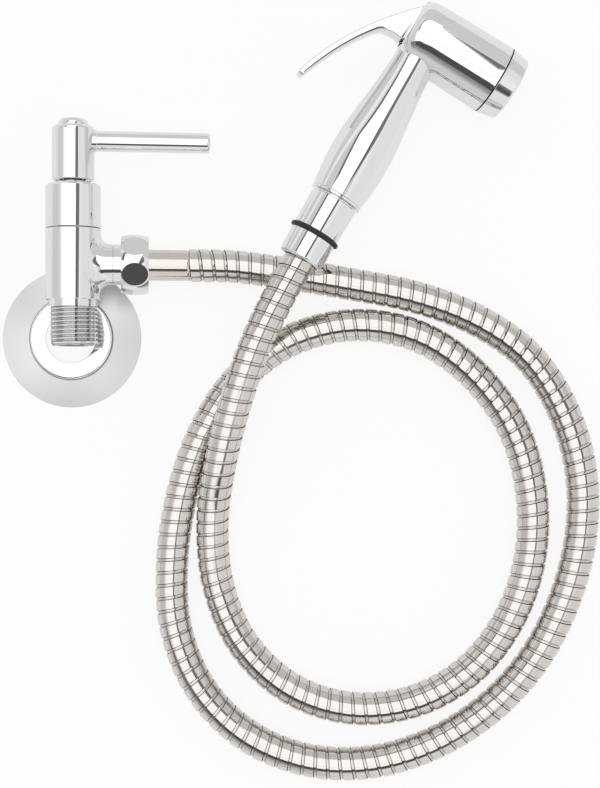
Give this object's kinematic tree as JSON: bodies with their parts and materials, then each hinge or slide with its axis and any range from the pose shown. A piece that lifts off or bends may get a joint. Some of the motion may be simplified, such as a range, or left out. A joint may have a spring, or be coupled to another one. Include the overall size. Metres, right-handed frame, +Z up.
{
  "type": "handheld bath sprayer",
  "caption": "Trigger hand sprayer on a ribbed metal hose, with a quarter-turn lever valve, a hex hose nut and a loose round wall flange.",
  "frame": {"origin": "on the axis of the valve's inlet, where its full thread starts, 1.8 mm inside its end face; the table that the sprayer lies on is 15.95 mm below it", "axes": "-Y out of the inlet thread, +Y along the valve towards its lever hub, +X along the outlet and the lever rod, +Z up from the table"},
  "size_m": [0.2577, 0.3304, 0.034],
  "materials": {
    "chrome": "polished chrome plate on brass",
    "flange_steel": "polished thin stainless sheet",
    "hose_steel": "polished stainless strip, wound into ribs, slightly warm",
    "ferrule_steel": "bright drawn stainless, slightly warm",
    "steel": "turned stainless steel",
    "brass": "machined brass",
    "rubber": "matt black rubber",
    "liner": "plain off-white plastic",
    "ceramic": "lapped white ceramic"
  },
  "bodies": {
    "valve_and_hose": {"wall_flange": "flange_steel", "valve_body": "chrome", "bonnet": "chrome", "cartridge_body": "steel", "seat_gasket": "rubber", "fixed_disc": "ceramic", "hose_nut": "chrome", "nut_washer": "rubber", "valve_insert": "brass", "valve_ferrule": "ferrule_steel", "metal_hose": "hose_steel", "hose_liner": "liner", "handset_ferrule": "ferrule_steel", "handset_insert": "brass"},
    "lever": {"moving_disc": "ceramic", "valve_spindle": "brass", "spindle_o_rings": "rubber", "lever_hub": "chrome", "hub_screw": "steel", "hub_cap": "chrome", "lever_rod": "chrome"},
    "handset": {"cone_nut": "chrome", "cone_ring": "rubber", "cone_washer": "rubber", "inlet_connector": "chrome", "handset_body": "chrome", "trigger_pin": "steel", "gland_bush": "brass", "gland_o_ring": "rubber", "seat_insert": "brass", "seat_o_ring": "rubber", "return_spring": "steel", "spring_carrier": "liner", "face_gasket": "rubber", "spray_face": "steel", "rim_washer": "rubber", "spray_ring": "chrome"},
    "trigger": {"trigger": "chrome"},
    "plunger": {"plunger": "steel", "poppet_seal": "rubber", "poppet_holder": "brass", "plunger_nut": "brass"}
  },
  "joints": [
    {"name": "lever_turn", "type": "hinge", "parent": "valve_and_hose", "child": "lever", "pos_m": [0, 0.03275, 0], "axis": [0, -1, 0], "range_deg": [0, 90]},
    {"name": "handset_swivel", "type": "hinge", "parent": "valve_and_hose", "child": "handset", "pos_m": [0.1113, 0.0603, 0.00575], "axis": [0.4998, 0.8656, -0.0297], "continuous": true},
    {"name": "trigger_press", "type": "hinge", "parent": "handset", "child": "trigger", "pos_m": [0.15125, 0.13743, 0.0037], "axis": [0.1281, -0.04, 0.991], "range_deg": [0, 10], "stiffness_Nm_per_rad": 0.4, "springref_deg": -5.73},
    {"name": "plunger_slide", "type": "slide", "parent": "handset", "child": "plunger", "axis": [0.8566, -0.4991, -0.1308], "range_m": [0, 0.00156], "deforming": ["return_spring"]}
  ],
  "couplings": [
    {"joint": "plunger_slide", "follows": "trigger_press", "m_per_rad": 0.0089}
  ]
}
